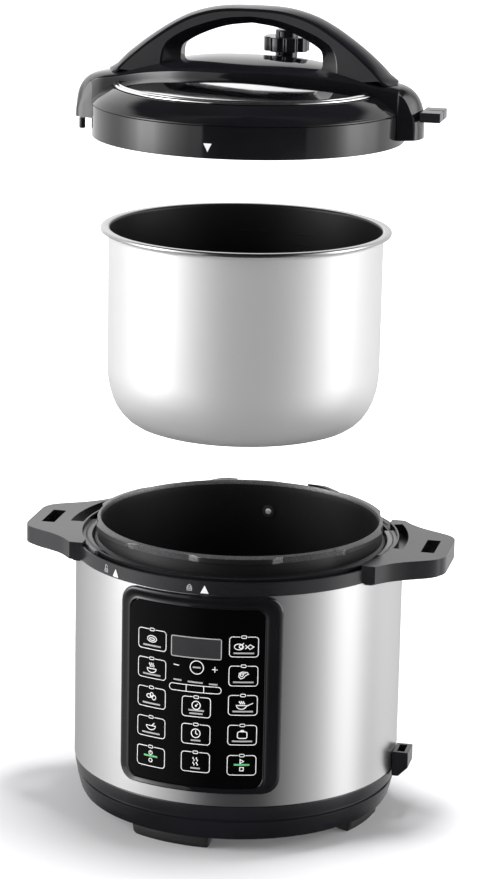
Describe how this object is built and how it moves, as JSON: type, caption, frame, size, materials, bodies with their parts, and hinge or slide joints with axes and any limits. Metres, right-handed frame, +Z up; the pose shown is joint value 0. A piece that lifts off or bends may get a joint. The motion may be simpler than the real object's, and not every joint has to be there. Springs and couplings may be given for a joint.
{
  "type": "electric pressure cooker",
  "caption": "Electric pressure cooker shown apart on its axis: steel base unit with side handles and a front key panel, lift-out inner pot, and twist-lock lid with an arched handle.",
  "frame": {"origin": "on the table plane under the cooker's axis", "axes": "+Z up along the axis the pot and lid lift on; -Y is the front, where the key panel faces; +X is towards the handle on the viewer's right"},
  "size_m": [0.354, 0.2789, 0.6688],
  "materials": {
    "black_gloss": "polished black plastic",
    "black_satin": "satin black plastic",
    "brushed_wrap": "vertically brushed",
    "steel": "plain",
    "polished_steel": "polished",
    "pot_metal": "satin outside, dark non-stick inside",
    "vessel_metal": "dark speckled coating",
    "plate_aluminium": "cast and machined",
    "silicone": "translucent white",
    "rubber": "matt",
    "circuit_board": "solder mask",
    "white_plastic": "matt",
    "display": "smoked window"
  },
  "bodies": {
    "base": {"base_housing": "black_satin", "bottom_cover": "steel", "cover_screw_1": "steel", "cover_screw_2": "steel", "cover_screw_3": "steel", "cover_screw_4": "steel", "foot_1": "rubber", "foot_2": "rubber", "foot_3": "rubber", "foot_4": "rubber", "body_wrap": "brushed_wrap", "collar_ring": "black_satin", "collar_rim_front": "black_satin", "collar_rim_rear": "black_satin", "trough_ledge": "black_satin", "side_handle_left": "black_satin", "side_handle_right": "black_satin", "handle_cover_left": "black_satin", "handle_cover_right": "black_satin", "drip_trough": "black_satin", "pressure_vessel": "vessel_metal", "vessel_stay_1": "steel", "vessel_stay_2": "steel", "vessel_stay_3": "steel", "vessel_stud": "steel", "heater_plate": "plate_aluminium", "heating_element": "steel", "sensor_cup": "steel", "sensor_spring": "steel", "power_board": "circuit_board", "power_relay": "black_satin", "board_transformer": "black_satin", "pressure_switch": "black_satin", "thermal_fuse": "white_plastic", "power_inlet": "black_satin", "panel_frame": "black_gloss", "panel_overlay": "black_gloss", "display_window": "display", "control_board": "circuit_board", "utensil_bracket": "black_satin"},
    "pot": {"inner_pot": "pot_metal"},
    "seal": {"sealing_ring": "silicone"},
    "lid": {"lid_cover": "black_gloss", "trim_ring": "polished_steel", "lid_dome": "polished_steel", "lid_bridge": "black_gloss", "handle_arch": "black_gloss", "handle_cap": "black_gloss", "stand_tab": "black_gloss", "guide_pin": "black_satin", "pressure_plate": "polished_steel", "seal_rack": "steel", "centre_spacer": "black_satin", "steam_pipe": "polished_steel", "anti_block_shield": "steel", "float_seal": "silicone", "float_guide": "steel"},
    "steam_valve": {"steam_knob": "black_gloss"},
    "float": {"float_valve": "steel"},
    "sensor": {"sensor_plunger": "steel"}
  },
  "joints": [
    {"name": "pot_lift", "type": "slide", "parent": "base", "child": "pot", "axis": [0, 0, 1], "range_m": [-0.24, 0]},
    {"name": "lid_lift", "type": "slide", "parent": "pot", "child": "seal", "axis": [0, 0, 1], "range_m": [-0.0932, 0]},
    {"name": "lid_twist", "type": "hinge", "parent": "seal", "child": "lid", "pos_m": [0, 0, 0.59], "axis": [0, 0, 1], "range_deg": [-35, 0]},
    {"name": "steam_turn", "type": "hinge", "parent": "lid", "child": "steam_valve", "pos_m": [0.022, 0.038, 0.63], "axis": [0, 0, 1], "range_deg": [-45, 0]},
    {"name": "float_rise", "type": "slide", "parent": "lid", "child": "float", "axis": [0, 0, 1], "range_m": [0, 0.004]},
    {"name": "sensor_press", "type": "slide", "parent": "base", "child": "sensor", "axis": [0, 0, 1], "range_m": [-0.0025, 0], "stiffness_N_per_m": 600, "springref_m": 0.002, "deforming": ["sensor_spring"]}
  ]
}
